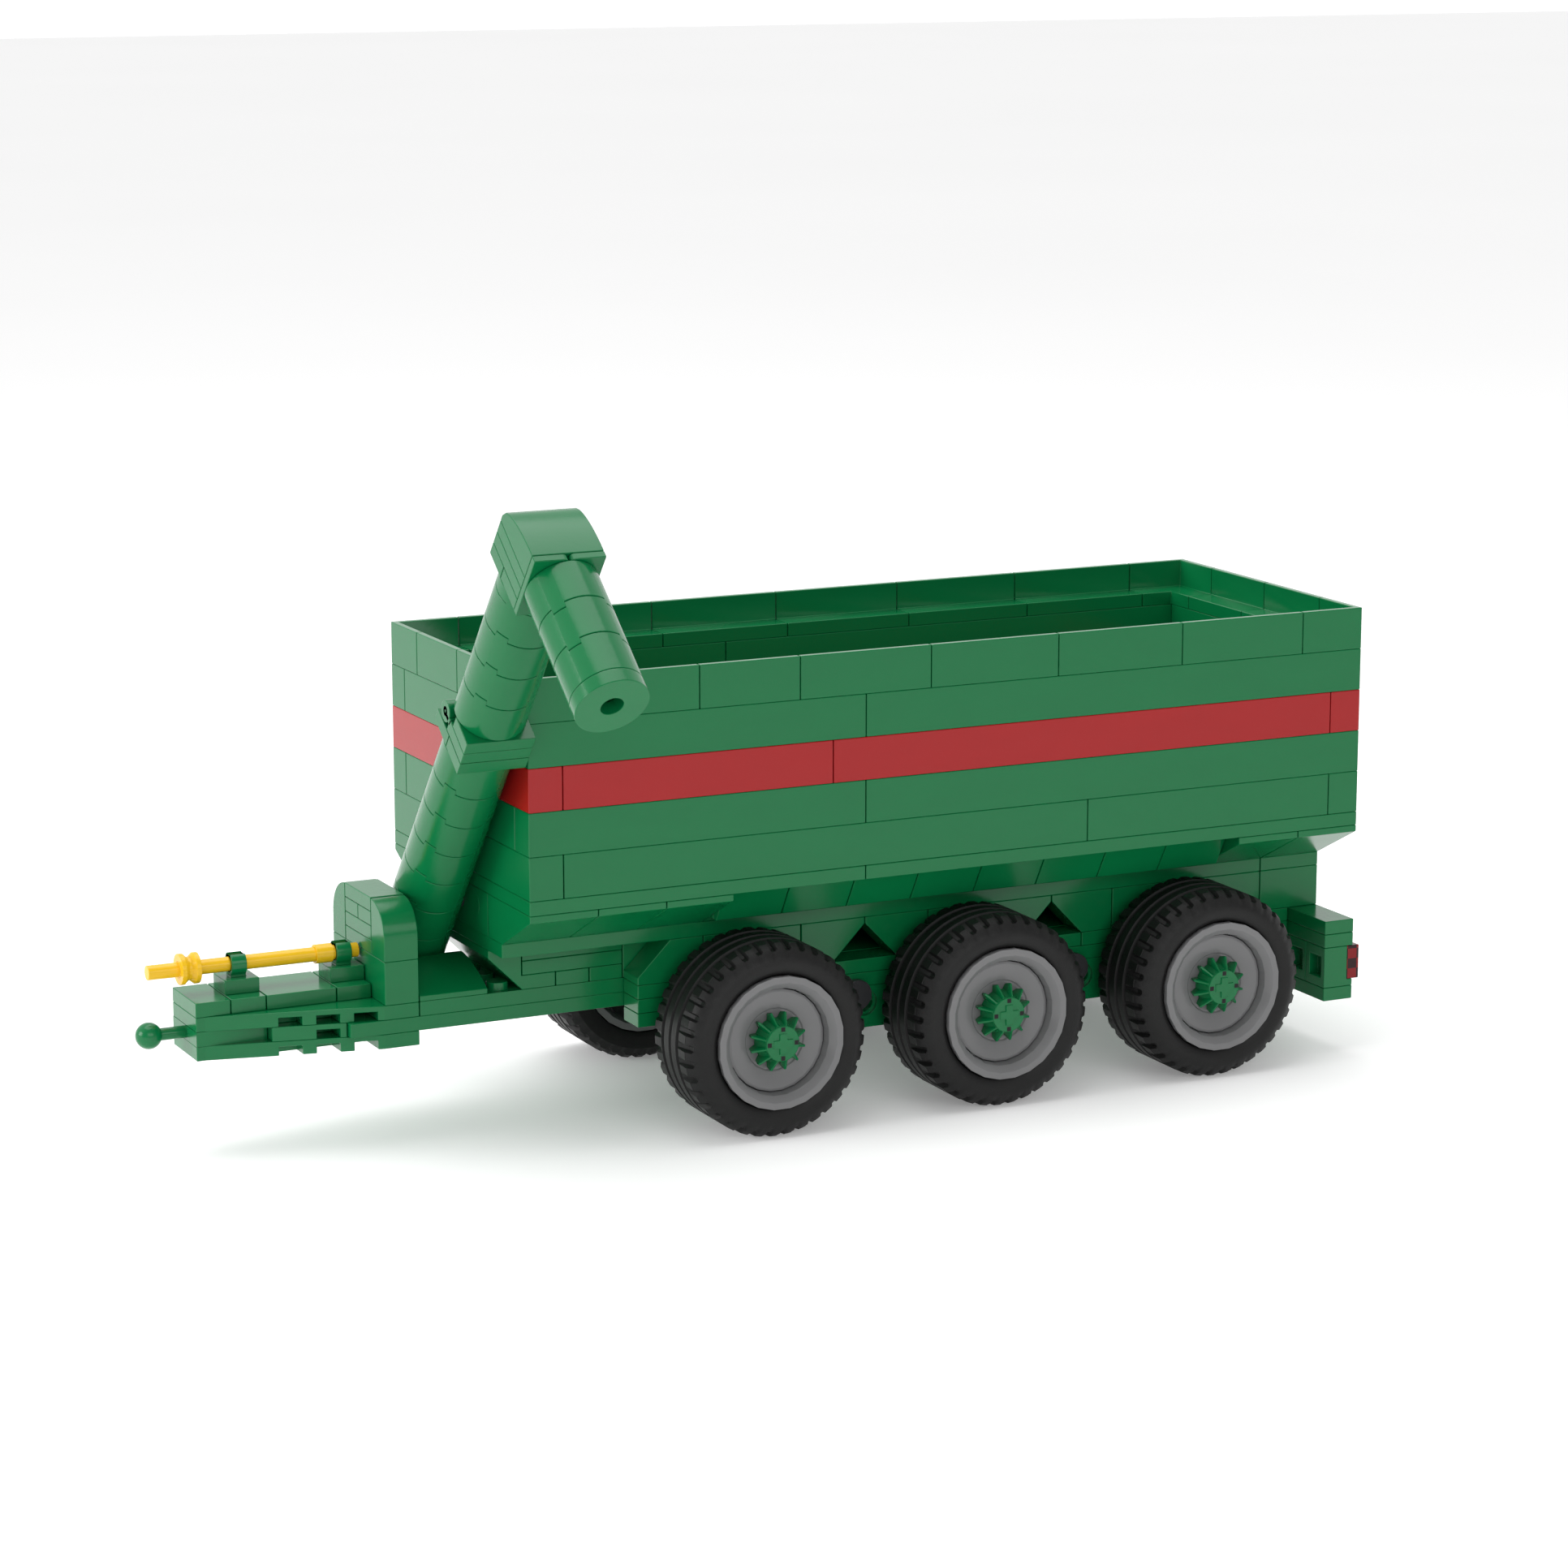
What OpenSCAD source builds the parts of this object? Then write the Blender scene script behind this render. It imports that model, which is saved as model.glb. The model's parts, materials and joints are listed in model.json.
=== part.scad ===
// Grain cart, tri-axle, stud-brick scale model. Origin: hitch ball centre.
// +X runs from the hitch to the tail, +Z is up, the near side with the auger is -Y.

/* [Brick grid] */
// Stud pitch
U = 8; // [6.5:0.1:10]
// Plate height, a third of a brick
H = 3.2; // [2.6:0.05:4]
// Gap taken off each side face of every brick
g = 0.1; // [0.05:0.01:0.2]
// Pin hole radius
hole_r = 2.4; // [2:0.05:2.9]
// Running gap of a shaft in its hole
run = 0.05; // [0.02:0.01:0.1]

/* [Hopper] */
// Wall thickness of the rim panels
rim_t = 1.5; // [1.2:0.1:2.5]
// Height of the rim panels in plates
rim_h = 3; // [3:1:6]

/* [Wheels] */
// Tyre radius over the tread
tyre_r = 21.8; // [19:0.1:24]
// Rim radius at its outer edge
rim_r = 15; // [13:0.1:16.5]
// Axle spacing in studs
axle_pitch = 7; // [6:1:7]

/* [Auger] */
// Radius of the round bricks
tube_r = 7.8; // [6.5:0.05:7.8]
// Lean of the tube from upright towards the near side
tilt = 39; // [30:1:50]
// Number of round bricks in the upper tube
upper_n = 4; // [2:1:6]

/* [Drive shaft] */
// Shaft radius
pto_r = 1.6; // [1.2:0.05:1.9]
// Length of the bare tip in front of the bush
tip = 7; // [5:0.1:7]

/* [Hidden] */
$fn = 64;
axis_z = 5.8 - 28*H;
axles = [7, 7 + axle_pitch, 7 + 2*axle_pitch];
jr = hole_r - run;
disc_h = 1.6;
piv_z = 5.8 - 19*H;
low0 = -4.5*H;
low1 = 16.5*H;
up0 = low1 + 3*H;
up1 = up0 + upper_n*3*H;
head0 = up1 + H;
sp_z = head0 + 2.5*H;
hin_y = 0.575*U;
hin_z = low1 + 1.85*H;
hin_r = 2.4;
pto_z = -21*H + 2.65;
seat_r = pto_r + 0.2;
bush_w = 4.3;

module G() translate([9*U, 0, 24.5*H]) children();
module bk(X, Y, Z, nx, ny, nz)
  translate([U*X + g, U*Y + g, H*Z]) cube([U*nx - 2*g, U*ny - 2*g, H*nz]);
module both() { children(); mirror([0, 1, 0]) children(); }
module stud(X, Y, Z) translate([U*X, U*Y, H*Z - 0.2]) cylinder(r = hole_r, h = 1.9);
// profile in y and z, swept along x from x0 to x1
module yz(x0, x1, p) translate([x0, 0, 0]) rotate([90, 0, 90]) linear_extrude(x1 - x0) polygon(p);
// profile in x and z, swept along y from y0 to y1
module xz(y0, y1, p) translate([0, y1, 0]) rotate([90, 0, 0]) linear_extrude(y1 - y0) polygon(p);
function arc(cy, cz, r, a0, a1, n) = [for (i = [0:n]) let (a = a0 + (a1 - a0)*i/n) [cy + r*cos(a), cz + r*sin(a)]];

// ---- hopper ----
module panel(X, n) {
  bk(X, -5, -3, n, 1, 1);
  translate([U*X + g, -5*U + g, -2*H - 0.01]) cube([U*n - 2*g, rim_t, (rim_h - 1)*H + 0.01]);
}
module corner(X) {
  bk(X, -5, -3, 2, 1, 1);
  bk(X, -5, -3, 1, 2, 1);
  translate([U*X + g, -5*U + g, -2*H - 0.01]) {
    cube([2*U - 2*g, rim_t, (rim_h - 1)*H + 0.01]);
    cube([rim_t, 2*U - 2*g, (rim_h - 1)*H + 0.01]);
  }
}
module rim_side() G() {
  corner(0);
  translate([26*U, 0, 0]) mirror([1, 0, 0]) corner(0);
  for (s = [[2, 3], [5, 3], [8, 4], [12, 4], [16, 4], [20, 4]]) panel(s[0], s[1]);
}
module rim_panels_near() color("#27744A") rim_side();
module rim_panels_far() color("#27744A") mirror([0, 1, 0]) rim_side();
module end_panel(Y) {
  bk(0, Y, -3, 1, 3, 1);
  translate([g, U*Y + g, -2*H - 0.01]) cube([rim_t, 3*U - 2*g, (rim_h - 1)*H + 0.01]);
}
module rim_panels_ends() color("#27744A") G() {
  for (Y = [-3, 0]) { end_panel(Y); translate([26*U, 0, 0]) mirror([1, 0, 0]) end_panel(Y); }
}
module course(Z, a) {
  both() { bk(0, -5, Z, a, 1, 3); bk(a, -5, Z, 26 - a, 1, 3); }
  for (X = [0, 25]) bk(X, -4, Z, 1, 8, 3);
}
module course_end(Z, a) {
  both() { bk(1, -5, Z, a - 1, 1, 3); bk(a, -5, Z, 25 - a, 1, 3); }
  for (X = [0, 25]) bk(X, -5, Z, 1, 10, 3);
}
module wall_course_2() color("#27744A") G() course(-6, 10);
module wall_stripe() color("#A32B2D") G() course_end(-9, 9);
module wall_course_4() color("#27744A") G() course(-12, 10);
module wall_course_5() color("#27744A") G() course_end(-15, 17);
module floor_plates() color("#27744A") G() {
  bk(0, -5, -16, 10, 10, 1);
  bk(10, -5, -16, 16, 10, 1);
}
module slope(X) yz(U*X + g, U*(X + 2) - g, [[-5*U + g, -16*H], [-5*U + g, -16*H - 1.5],
  [-3*U, -19*H], [-2*U - g, -19*H], [-2*U - g, -16*H]]);
module slopes_front() color("#27744A") G() both() for (X = [0, 2, 4]) slope(X);
module slopes_rear() color("#27744A") G() both() for (X = [22, 24]) slope(X);
module side_slopes() G() for (X = [6:2:20])
  yz(U*X + g, U*(X + 2) - g, [[-4.4*U, -16*H], [-3.6*U, -16*H], [-3.6*U, -18.5*H], [-3.8*U, -18.5*H]]);
module side_slopes_near() color("#27744A") side_slopes();
module side_slopes_far() color("#27744A") mirror([0, 1, 0]) side_slopes();
module side_brackets() color("#27744A") G() both() for (X = [6:2:20]) {
  translate([U*X + g, -3.6*U, -18.5*H]) cube([2*U - 2*g, 0.6*U, 2.5*H]);
}
module core_bricks() color("#1F5C3A") G() {
  for (X = [6:4:18]) bk(X, -3, -19, 4, 6, 3);
  bk(1, -2, -19, 5, 4, 3);
  bk(22, -2, -19, 4, 4, 3);
}
module pivot_brick() color("#27744A") G() difference() {
  bk(0, -2, -19, 1, 4, 3);
  for (Y = [-1, 0, 1]) translate([-1, U*Y, piv_z]) rotate([0, 90, 0]) cylinder(r = hole_r, h = U + 2);
}
module pivot_pins() color("#4A4B4D") G() for (Y = [-1, 1]) translate([0, U*Y, piv_z]) rotate([0, 90, 0]) {
  cylinder(r = 3.2, h = g);
  cylinder(r = hole_r, h = U - g);
}
module auger_pivot_pin() color("#4A4B4D") G() translate([-1.5*U, 0, piv_z]) rotate([0, 90, 0]) {
  cylinder(r = jr, h = 1.5*U + 0.05);
  translate([0, 0, 1.5*U]) cylinder(r = hole_r, h = U - g);
}

// ---- chassis ----
module deck_plates() color("#27744A") G() {
  bk(0, -3, -20, 24, 6, 1);
  bk(24, -3, -20, 2, 6, 1);
}
module front_block() color("#27744A") G()
  xz(-2*U + g, 2*U - g, [[g, -20*H], [g, -20*H - 1.8], [U, -23*H], [2*U - g, -23*H], [2*U - g, -22*H], [U - g, -22*H], [U - g, -20*H]]);
module front_plates() color("#1F5C3A") G() {
  bk(1, -2, -21, 3, 4, 1);
  bk(1, -2, -22, 3, 4, 1);
  bk(2, -2, -23, 1, 4, 1);
  bk(3, -2, -23, 1, 4, 1);
  bk(4, -2, -23, 2, 4, 3);
}
module spine_upper() color("#1F5C3A") G() {
  bk(-2, -2, -24, 27, 4, 1);
  for (X = [-1.5, -0.5], Y = [0.5, 1.5]) stud(X, Y, -23);
  for (Y = [-1.5, -0.5, 0.5, 1.5]) stud(0.45, Y, -23);
}
module spine_lower() color("#1F5C3A") G() bk(-4, -2, -25, 29, 4, 1);
// half width of the tongue: one stud at the tip, two from X = -3 on
function half_w(X) = U*(1 + (min(max(X, -7.75), -3) + 7.75)/4.75) - g;
function wedge_pts(x0, x1) = let (xs = [x0, max(x0, -7.75), min(x1, -3), x1])
  concat([for (i = [0:3]) [xs[i]*U + (i < 2 ? g : -g), -half_w(xs[i])]],
         [for (i = [3:-1:0]) [xs[i]*U + (i < 2 ? g : -g), half_w(xs[i])]]);
module wedge(Z, x0, x1, cuts) difference() {
  translate([0, 0, Z*H]) linear_extrude(H) polygon(wedge_pts(x0, x1));
  for (X = cuts) both() translate([U*X - 2.5, -2*U - 1, Z*H - 1]) cube([5, U + 1, 3]);
}
module wedge_upper() color("#27744A") G() wedge(-24, -8, -2, [-5.5, -4.5, -3.5]);
module wedge_middle() color("#27744A") G() wedge(-25, -6, -4, [-4.5]);
module wedge_lower() color("#27744A") G() wedge(-26, -8, -2, [-5.5, -4.5, -3.5]);
module hitch_ball() color("#27744A") {
  G() bk(-8, -1, -25, 2, 2, 1);
  sphere(r = 2.9);
  rotate([0, 90, 0]) cylinder(r = 1.35, h = U + g + 0.1);
}
module tongue_tiles() color("#27744A") G() for (s = [[-8, 1], [-7, 1], [-6, 2], [-4, 1]]) bk(s[0], -1, -23, s[1], 2, 1);
module clip_plates() color("#8E9296") G() for (X = [-7, -4]) {
  bk(X, -0.5, -22, 1, 1, 1);
  translate([U*(X + 0.5) - 1.7, 0, pto_z]) difference() {
    union() {
      rotate([0, 90, 0]) cylinder(r = pto_r + 1, h = 3.4);
      translate([0, -1.6, -2.65]) cube([3.4, 3.2, 1.2]);
    }
    translate([-1, 0, 0]) rotate([0, 90, 0]) cylinder(r = pto_r + run, h = 6);
    translate([-1, -1.2, 0]) cube([6, 2.4, 5]);
  }
}
module gearbox_base() color("#27744A") G() bk(-3, -2, -23, 1, 4, 3);
module gearbox_caps() color("#27744A") G() both() yz(-3*U + g, -2*U - g,
  concat([[-U - g, -20*H], [-2*U + g, -20*H], [-2*U + g, -16*H - U]], arc(-U - g, -16*H - U, U - 2*g, 180, 90, 16)));
module gearbox_plates() color("#27744A") G() {
  bk(-3, -1, -17, 1, 2, 1);
  bk(-3, -1, -18, 1, 1, 1);
  bk(-3, 0, -18, 1, 1, 1);
  bk(-3, -1, -19, 1, 2, 1);
  bk(-3, -1, -20, 1, 2, 1);
}
module shaft_cover() color("#27744A") G() yz(-2*U + g, -g,
  concat([[-0.6, -23*H], [-2*U + g, -23*H], [-2*U + g, -23*H + 1.2]],
  [for (i = [1:12]) let (t = i/12) [-2*U + g + (2*U - g - 0.6)*t, -23*H + 1.2 + 5.1*(1 - pow(1 - t, 1.75))]]));
module side_frame() G() {
  xz(-3*U + g, -2*U - g, [[4*U + g, -23*H], [4*U + g, -23*H + 1.7], [5*U, -20*H], [6*U - g, -20*H], [6*U - g, -23*H]]);
  bk(6, -3, -23, 3, 1, 3);
  for (X = [11, 17]) {
    xz(-3*U + g, -2*U - g, [[(X - 2)*U + g, -23*H], [(X - 2)*U + g, -20*H], [X*U - g, -20*H], [X*U - g, -20*H - 1.5], [(X - 1)*U, -23*H]]);
    xz(-3*U + g, -2*U - g, [[(X + 2)*U - g, -23*H], [(X + 1)*U, -23*H], [X*U + g, -20*H - 1.5], [X*U + g, -20*H], [(X + 2)*U - g, -20*H]]);
  }
  bk(13, -3, -23, 2, 1, 3);
  bk(19, -3, -23, 5, 1, 3);
}
module frame_upper_near() color("#27744A") side_frame();
module frame_upper_far() color("#27744A") mirror([0, 1, 0]) side_frame();
module frame_plates() color("#27744A") G() both() {
  bk(4, -3, -24, 14, 1, 1);
  bk(18, -3, -24, 7, 1, 1);
  bk(4, -3, -25, 21, 1, 1);
  bk(4, -3, -26, 2, 1, 1);
}
module frame_beams() color("#27744A") G() both() difference() {
  bk(6, -3, -28, 16, 1, 3);
  for (i = [7:21]) translate([U*i, -3*U - 1, axis_z]) rotate([-90, 0, 0]) {
    cylinder(r = hole_r, h = U + 2);
    cylinder(r = 3.1, h = 1.8 + g);
  }
}
module frame_pins() color("#4A4B4D") G() both() for (X = [11, 18])
  translate([U*X - 2.5, 0, axis_z + 2.3]) rotate([-90, 0, 0]) translate([0, 0, -3*U - disc_h]) cylinder(r = 3.5, h = disc_h + g);
module rear_block() color("#27744A") G() bk(24, -3, -23, 2, 6, 3);
module bumper_plates() color("#27744A") G() {
  bk(25, -5, -24, 1, 10, 1);
  bk(25, -5, -25, 1, 10, 1);
  bk(25, -5, -29, 1, 10, 1);
}
module bumper_bricks() color("#27744A") G() {
  difference() {
    for (s = [[-5, 1], [-4, 1], [-3, 6], [3, 1], [4, 1]]) bk(25, s[0], -28, 1, s[1], 3);
    both() translate([26*U - 1.6, -5*U - 1, -28*H + 1.6]) cube([3, 2*U + 1, 3*H]);
    for (Y = [-4.5, -3.5]) both() translate([25*U - 1, U*Y - 2.45, -26.5*H - 2.45]) cube([3.5, 4.9, 4.9]);
  }
}
module tail_lamps() color("#C02030") G() both() translate([26*U - 1.6, -5*U + g, -27.5*H]) cube([3.2, U - 2*g, 2.5*H]);

// ---- drive shaft ----
module drive_shaft() color("#E0B92F") G() translate([-9*U, 0, pto_z]) rotate([0, 90, 0]) {
  cylinder(r = pto_r, h = 6*U - 0.3);
  translate([0, 0, tip]) cylinder(r = seat_r, h = bush_w);
}
module drive_bush() color("#E0B92F") G() translate([-9*U + tip, 0, pto_z]) rotate([0, 90, 0]) rotate_extrude()
  polygon([[seat_r, 0], [3.4, 0], [3.4, 1], [2.6, 1.9], [2.6, 2.4], [3.4, 3.3], [3.4, bush_w], [seat_r, bush_w]]);
module drive_sleeve() color("#E0B92F") G() translate([-4*U - 2.2, 0, pto_z]) rotate([0, 90, 0]) difference() {
  cylinder(r = pto_r + 0.5, h = 3.9);
  translate([0, 0, -1]) cylinder(r = pto_r, h = 6);
}

// ---- wheels: shaft along y, profiles are radius against y ----
module at_axle(i) G() translate([U*axles[i], 0, axis_z]) children();
module rod(i) at_axle(i) {
  translate([0, 3*U + 0.4, 0]) rotate([90, 0, 0]) cylinder(r = jr, h = 6*U + 0.8);
  both() intersection() {
    translate([0, -3*U, 0]) rotate([90, 0, 0]) cylinder(r = jr, h = 3*U + 0.2);
    translate([-6, -6*U - 1, 0]) union() {
      translate([0, 0, -0.9]) cube([12, 3*U + 1.2, 1.8]);
      translate([5.1, 0, -6]) cube([1.8, 3*U + 1.2, 12]);
    }
  }
}
module turn() rotate([90, 0, 0]) rotate_extrude() children();
module rim_one() turn() polygon([[jr, 3*U + 0.45], [4.4, 3*U + 0.45], [4.4, 4.2*U], [rim_r - 2.4, 4.5*U],
  [rim_r - 1.8, 3.2*U], [rim_r, 3.2*U], [rim_r, 3.2*U + 1], [rim_r - 1, 3.2*U + 1.5], [rim_r - 1, 5.7*U],
  [rim_r, 5.72*U], [rim_r, 5.9*U + 0.1], [rim_r - 0.8, 5.9*U + 0.1], [rim_r - 2.4, 5.8*U], [rim_r - 3.4, 5.5*U],
  [jr, 5.5*U]]);
module gear_one() {
  turn() polygon([[jr, 5.5*U], [5.4, 5.5*U], [5.4, 5.65*U], [3.9, 5.85*U], [3.9, 5.97*U], [jr, 5.97*U]]);
  for (a = [0:30:330]) rotate([0, a, 0]) translate([0, -5.5*U, 0]) rotate([90, 0, 0])
    linear_extrude(0.22*U) polygon([[4.9, -1], [6.65, -0.5], [6.65, 0.5], [4.9, 1]]);
}
module rims(i) at_axle(i) both() { rim_one(); }
module tyre_one() turn() polygon([[rim_r - 1, 3.2*U + 1.5], [rim_r + 0.05, 3.2*U + 1],
  [rim_r + 0.05, 3.2*U + 0.4], [rim_r + 1, 3.12*U],
  [tyre_r - 2.6, 3.16*U], [tyre_r - 0.9, 3.32*U], [tyre_r, 3.52*U], [tyre_r, 3.95*U], [tyre_r - 0.8, 3.99*U],
  [tyre_r - 0.8, 4.09*U], [tyre_r, 4.13*U], [tyre_r, 4.42*U], [tyre_r - 0.8, 4.46*U], [tyre_r - 0.8, 4.54*U],
  [tyre_r, 4.58*U], [tyre_r, 4.87*U], [tyre_r - 0.8, 4.91*U], [tyre_r - 0.8, 5.01*U], [tyre_r, 5.05*U],
  [tyre_r, 5.48*U], [tyre_r - 0.9, 5.7*U], [tyre_r - 2.6, 5.85*U], [rim_r + 1, 5.87*U], [rim_r + 0.05, 5.8*U], [rim_r + 0.05, 5.72*U],
  [rim_r - 1, 5.7*U]]);
module tyres(i) at_axle(i) both() tyre_one();
module hubs(i) at_axle(i) both() gear_one();
module axles_rod_1() color("#1F6B40") { rod(0); hubs(0); }
module axles_rod_2() color("#1F6B40") { rod(1); hubs(1); }
module axles_rod_3() color("#1F6B40") { rod(2); hubs(2); }
module rims_1() color("#707072") rims(0);
module rims_2() color("#707072") rims(1);
module rims_3() color("#707072") rims(2);
module tyres_1() color("#2B2B2B") tyres(0);
module tyres_2() color("#2B2B2B") tyres(1);
module tyres_3() color("#2B2B2B") tyres(2);

// ---- auger, drawn upright about its swing pivot, then leaned ----
module A() G() translate([-U, 0, piv_z]) rotate([tilt, 0, 0]) children();
module slab(y0, y1, z0, z1) translate([-tube_r, y0, z0]) cube([2*tube_r, y1 - y0, z1 - z0]);
module groove(z) translate([0, 0, z - 0.15]) difference() {
  cylinder(r = tube_r + 1, h = 0.3);
  translate([0, 0, -1]) cylinder(r = tube_r - 0.25, h = 3);
}
module auger_lower_tube() color("#27744A") A() difference() {
  translate([0, 0, low0]) cylinder(r = tube_r, h = low1 - low0);
  for (i = [1:6]) groove(low0 + i*3*H);
  translate([-0.5*U - 0.4, 0, 0]) rotate([0, 90, 0]) cylinder(r = hole_r, h = 2*U);
}
module collar_lower() color("#27744A") A() {
  slab(-U + g, -g, low1, low1 + H);
  slab(g, U - 0.2, low1, low1 + H);
  difference() {
    union() {
      translate([-3.8, hin_y, hin_z]) rotate([0, 90, 0]) cylinder(r = hin_r, h = 7.6);
      translate([-3.8, hin_y - 1.4, low1 + H - 0.1]) cube([7.6, 2.8, hin_z - low1 - H]);
    }
    translate([-5, hin_y, hin_z]) rotate([0, 90, 0]) cylinder(r = 1.25, h = 10);
  }
}
module collar_upper() color("#27744A") A() {
  slab(-U + g, hin_y - hin_r - 0.35, low1 + H + 0.12, low1 + 2*H);
  slab(-U + g, -g, low1 + 2*H, up0);
  for (s = [-tube_r, 4.1]) {
    translate([s, hin_y, hin_z]) rotate([0, 90, 0]) cylinder(r = hin_r, h = tube_r - 4.1);
    translate([s, hin_y - hin_r - 0.5, hin_z - 0.9]) cube([tube_r - 4.1, hin_r, low1 + 2*H - hin_z + 0.9]);
  }
  translate([-tube_r, hin_y, hin_z]) rotate([0, 90, 0]) cylinder(r = 1.2, h = 2*tube_r);
}
module auger_upper_tube() color("#27744A") A() difference() {
  translate([0, 0, up0]) cylinder(r = tube_r, h = head0 - up0);
  for (i = [1:upper_n]) groove(up0 + i*3*H);
}
module head_block() color("#27744A") A() {
  slab(-U + g, 0.8, head0, head0 + H - 0.04);
  slab(1, U - g, head0, head0 + H - 0.04);
  slab(-U + g, U - g, head0 + H - 0.04, head0 + 2*H - 0.04);
  slab(-U + g, U - g, head0 + 2*H - 0.04, head0 + 3*H);
  for (s = [-tube_r, g]) translate([s, -1.2*U, head0]) difference() {
    cube([tube_r - g, 0.2*U + g, 5*H]);
    translate([-1, -1, 2.5*H - 1]) cube([0.5, 0.5, 2]);
  }
}
module head_cap() color("#27744A") A() yz(-tube_r, tube_r, concat([[-U + g, head0 + 3*H]],
  [for (i = [0:16]) let (t = i/16) [-U + g + (2*U - 2*g)*t, head0 + 3*H + 1.4 + (2*H - 1.4)*sqrt(1 - pow(t, 2)*0.9999)]],
  [[U - g, head0 + 3*H]]));
module spout_tube() color("#27744A") A() translate([0, 0, sp_z]) rotate([90, 0, 0]) difference() {
  translate([0, 0, 1.2*U]) cylinder(r = tube_r, h = 10*H);
  translate([0, 0, 1.2*U + 9*H]) cylinder(r = hole_r, h = 2*H);
  for (i = [1:3]) groove(1.2*U + 3*H*i);
}

rim_panels_near();
rim_panels_far();
rim_panels_ends();
wall_course_2();
wall_stripe();
wall_course_4();
wall_course_5();
floor_plates();
slopes_front();
slopes_rear();
side_slopes_near();
side_slopes_far();
side_brackets();
core_bricks();
pivot_brick();
pivot_pins();
auger_pivot_pin();
deck_plates();
front_block();
front_plates();
spine_upper();
spine_lower();
wedge_upper();
wedge_middle();
wedge_lower();
hitch_ball();
tongue_tiles();
clip_plates();
gearbox_base();
gearbox_caps();
gearbox_plates();
shaft_cover();
frame_upper_near();
frame_upper_far();
frame_plates();
frame_beams();
frame_pins();
rear_block();
bumper_plates();
bumper_bricks();
tail_lamps();
drive_shaft();
drive_bush();
drive_sleeve();
axles_rod_1();
axles_rod_2();
axles_rod_3();
rims_1();
rims_2();
rims_3();
tyres_1();
tyres_2();
tyres_3();
auger_lower_tube();
collar_lower();
collar_upper();
auger_upper_tube();
head_block();
head_cap();
spout_tube();
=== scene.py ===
"""Looks of the stud-brick grain cart: moulded pieces with softened edges, ringed auger, treaded wheels."""
import json
import math

import bmesh
import bpy
import numpy as np
from mathutils import Matrix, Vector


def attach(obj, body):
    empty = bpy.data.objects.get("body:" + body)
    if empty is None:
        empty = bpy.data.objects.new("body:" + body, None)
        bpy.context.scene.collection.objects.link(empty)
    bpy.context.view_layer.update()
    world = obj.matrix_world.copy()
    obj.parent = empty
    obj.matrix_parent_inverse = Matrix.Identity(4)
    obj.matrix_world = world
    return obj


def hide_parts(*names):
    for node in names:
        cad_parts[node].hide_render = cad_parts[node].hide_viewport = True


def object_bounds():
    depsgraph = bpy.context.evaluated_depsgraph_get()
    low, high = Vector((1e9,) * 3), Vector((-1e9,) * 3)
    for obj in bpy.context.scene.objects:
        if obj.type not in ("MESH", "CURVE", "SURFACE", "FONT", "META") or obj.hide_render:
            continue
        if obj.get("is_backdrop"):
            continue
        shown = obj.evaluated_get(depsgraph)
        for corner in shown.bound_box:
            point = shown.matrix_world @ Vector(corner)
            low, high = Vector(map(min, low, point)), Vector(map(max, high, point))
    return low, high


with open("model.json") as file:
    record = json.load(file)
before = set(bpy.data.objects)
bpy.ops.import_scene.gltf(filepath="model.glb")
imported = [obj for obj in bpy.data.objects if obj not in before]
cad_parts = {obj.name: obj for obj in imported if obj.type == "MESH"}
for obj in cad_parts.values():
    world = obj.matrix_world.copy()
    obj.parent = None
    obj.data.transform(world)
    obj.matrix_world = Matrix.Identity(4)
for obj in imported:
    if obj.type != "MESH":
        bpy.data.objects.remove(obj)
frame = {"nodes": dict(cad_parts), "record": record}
cad_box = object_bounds()

MM = 0.001
U = 8 * MM          # stud pitch
H = 3.2 * MM        # plate height
GAP = 0.1 * MM      # taken off each side face
EDGE = 0.2 * MM     # softened brick edge
GRID = np.array([9 * U, 0, 24.5 * H])
AXLE_Z = 24.5 * H + 5.8 * MM - 28 * H
AXLES = GRID[0] + 7 * U * np.array([1, 2, 3])
LEAN = math.radians(39)
PIVOT = np.array([8 * U, 0, 24.5 * H + 5.8 * MM - 19 * H])
TUBE_R = 7.8 * MM
LOWER_BASE, LOWER_TOP = -4.5 * H, 16.5 * H      # lower tube, upright, measured from the swing pivot
UPPER_BASE = LOWER_TOP + 3 * H
SPOUT_BASE, SPOUT_HEIGHT = 1.2 * U, 112 * MM    # out from the tube's axis, and up from the swing pivot
RING_H = 3 * H                                  # one round brick
RING_BORE = 5 * MM
RING_TABS, TAB_HALF, TAB_RAMP, TAB_H = 4, math.radians(11), math.radians(0.7), 1.3 * MM
RING_EDGE, RING_GAP = 0.17 * MM, 0.08 * MM
HINGE_Y, HINGE_Z = 4.6 * MM, 58.72 * MM         # fold hinge, upright, measured from the swing pivot
HUB_FACE = 47.75 * MM                           # out from the centre line
CAMERA_PLACE = (-0.272232, -0.871173, 0.245814)
CAMERA_TURN, CAMERA_RISE = math.radians(-25.9325), math.radians(11.9285)
BRIGHT_SIDE, DIM_SIDE = 1.1, 0.38   # the studio's sky behind the cart and behind the camera
BODY_OF = {n: b for b, names in frame["record"]["behaviour"]["bodies"].items() for n in names}
SLOT_OF = {s["node"]: s["material_slot"] for s in frame["record"]["subparts"]}


# ---------------------------------------------------------------- shader maths
class Wire:
    """A node socket that takes part in Python expressions; each operator adds one Math node."""

    def __init__(self, shader, socket):
        self.shader, self.socket = shader, socket

    def math(self, operation, other, flip=False):
        pair = (other, self) if flip else (self, other)
        return self.shader.node("ShaderNodeMath", {"operation": operation}, {0: pair[0], 1: pair[1]})

    def __add__(self, other):
        return self.math("ADD", other)

    def __radd__(self, other):
        return self.math("ADD", other, True)

    def __mul__(self, other):
        return self.math("MULTIPLY", other)

    def __rmul__(self, other):
        return self.math("MULTIPLY", other, True)


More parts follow.
